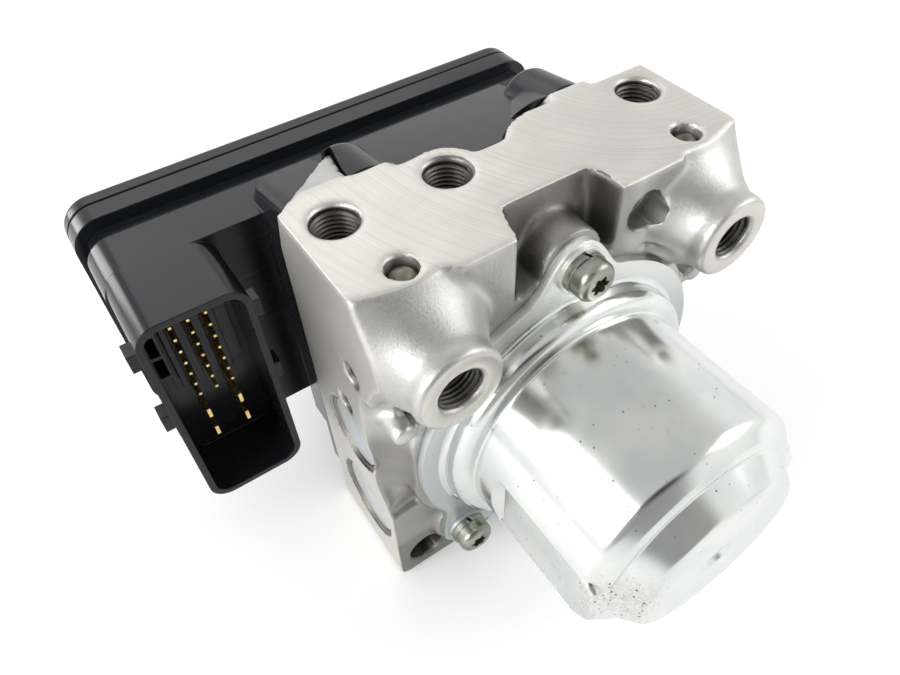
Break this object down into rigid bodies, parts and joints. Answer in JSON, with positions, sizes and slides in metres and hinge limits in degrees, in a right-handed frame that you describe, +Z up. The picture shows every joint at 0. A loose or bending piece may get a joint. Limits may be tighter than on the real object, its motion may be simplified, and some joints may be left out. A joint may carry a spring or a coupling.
{
  "type": "abs brake module",
  "caption": "Motorcycle anti-lock brake unit: drilled aluminium valve block with pipe ports, a plated pump motor in front and a black control unit with a connector socket behind",
  "frame": {"origin": "centre of the bottom face of the valve block, under the crossing of the motor axis and the pump bores", "axes": "+X to the right across the block, +Y from the motor back to the control unit, +Z up"},
  "size_m": [0.1214, 0.1258, 0.0995],
  "materials": {
    "cast_aluminium": "fine cast skin with milled faces",
    "plug_aluminium": "turned",
    "zinc_plate": "bright zinc plated sheet steel",
    "screw_steel": "plated",
    "bearing_steel": "ground",
    "spring_steel": "drawn wire",
    "core_iron": "bare",
    "magnet": "dull",
    "copper": "enamelled wire",
    "tinned_copper": "tinned",
    "gold": "gold flashed",
    "carbon": "pressed carbon",
    "seal_rubber": "smooth",
    "brown_plastic": "moulded",
    "black_plastic": "glossy moulded",
    "board": "lacquered laminate"
  },
  "bodies": {
    "root": {"accumulator_cap_left": "plug_aluminium", "accumulator_cap_right": "plug_aluminium", "accumulator_spring_left": "spring_steel", "accumulator_spring_right": "spring_steel", "brush_plate": "brown_plastic", "brush_springs": "spring_steel", "brushes": "carbon", "circuit_board": "board", "coil_bobbins": "brown_plastic", "coil_pins": "tinned_copper", "coil_windings": "copper", "control_cover": "black_plastic", "control_housing": "black_plastic", "drilling_balls": "bearing_steel", "front_bearing": "bearing_steel", "housing_screws": "screw_steel", "motor_can": "zinc_plate", "motor_flat_washers": "zinc_plate", "motor_magnets": "magnet", "motor_screws": "screw_steel", "motor_spring_washers": "screw_steel", "motor_terminals": "tinned_copper", "nose_bearing": "bearing_steel", "power_blades": "gold", "pump_check_valve_left": "bearing_steel", "pump_check_valve_right": "bearing_steel", "pump_cylinder_left": "bearing_steel", "pump_cylinder_right": "bearing_steel", "pump_plug_left": "plug_aluminium", "pump_plug_right": "plug_aluminium", "pump_spring_left": "spring_steel", "pump_spring_right": "spring_steel", "rear_bearing": "bearing_steel", "shaft_seal": "seal_rubber", "signal_pins": "gold", "terminal_sleeve": "brown_plastic", "valve_block": "cast_aluminium", "valve_inlet_left": "bearing_steel", "valve_inlet_right": "bearing_steel", "valve_outlet_left": "bearing_steel", "valve_outlet_right": "bearing_steel", "valve_springs": "spring_steel"},
    "rotor": {"motor_shaft": "bearing_steel", "eccentric_bearing": "bearing_steel", "armature_core": "core_iron", "armature_winding": "copper", "commutator": "copper"},
    "plunger_left": {"pump_plunger_left": "bearing_steel"},
    "piston_left": {"accumulator_piston_left": "plug_aluminium", "accumulator_ring_left": "seal_rubber"},
    "plunger_right": {"pump_plunger_right": "bearing_steel"},
    "piston_right": {"accumulator_piston_right": "plug_aluminium", "accumulator_ring_right": "seal_rubber"},
    "needle_inlet_left": {"armature_inlet_left": "core_iron"},
    "needle_inlet_right": {"armature_inlet_right": "core_iron"},
    "needle_outlet_left": {"armature_outlet_left": "core_iron"},
    "needle_outlet_right": {"armature_outlet_right": "core_iron"}
  },
  "joints": [
    {"name": "rotor_spin", "type": "hinge", "parent": "root", "child": "rotor", "pos_m": [0, 0, 0.0465], "axis": [0, 1, 0], "continuous": true},
    {"name": "plunger_left_stroke", "type": "slide", "parent": "root", "child": "plunger_left", "axis": [-1, 0, 0], "range_m": [0, 0.002], "stiffness_N_per_m": 300, "deforming": ["pump_spring_left"]},
    {"name": "piston_left_stroke", "type": "slide", "parent": "root", "child": "piston_left", "axis": [-1, 0, 0], "range_m": [0, 0.006], "stiffness_N_per_m": 200, "deforming": ["accumulator_spring_left"]},
    {"name": "plunger_right_stroke", "type": "slide", "parent": "root", "child": "plunger_right", "axis": [1, 0, 0], "range_m": [0, 0.002], "stiffness_N_per_m": 300, "deforming": ["pump_spring_right"]},
    {"name": "piston_right_stroke", "type": "slide", "parent": "root", "child": "piston_right", "axis": [1, 0, 0], "range_m": [0, 0.006], "stiffness_N_per_m": 200, "deforming": ["accumulator_spring_right"]},
    {"name": "needle_inlet_left_lift", "type": "slide", "parent": "root", "child": "needle_inlet_left", "axis": [0, -1, 0], "range_m": [0, 0.0003], "stiffness_N_per_m": 200, "deforming": ["valve_springs"]},
    {"name": "needle_inlet_right_lift", "type": "slide", "parent": "root", "child": "needle_inlet_right", "axis": [0, -1, 0], "range_m": [0, 0.0003], "stiffness_N_per_m": 200, "deforming": ["valve_springs"]},
    {"name": "needle_outlet_left_lift", "type": "slide", "parent": "root", "child": "needle_outlet_left", "axis": [0, -1, 0], "range_m": [0, 0.0003], "stiffness_N_per_m": 200, "deforming": ["valve_springs"]},
    {"name": "needle_outlet_right_lift", "type": "slide", "parent": "root", "child": "needle_outlet_right", "axis": [0, -1, 0], "range_m": [0, 0.0003], "stiffness_N_per_m": 200, "deforming": ["valve_springs"]}
  ]
}
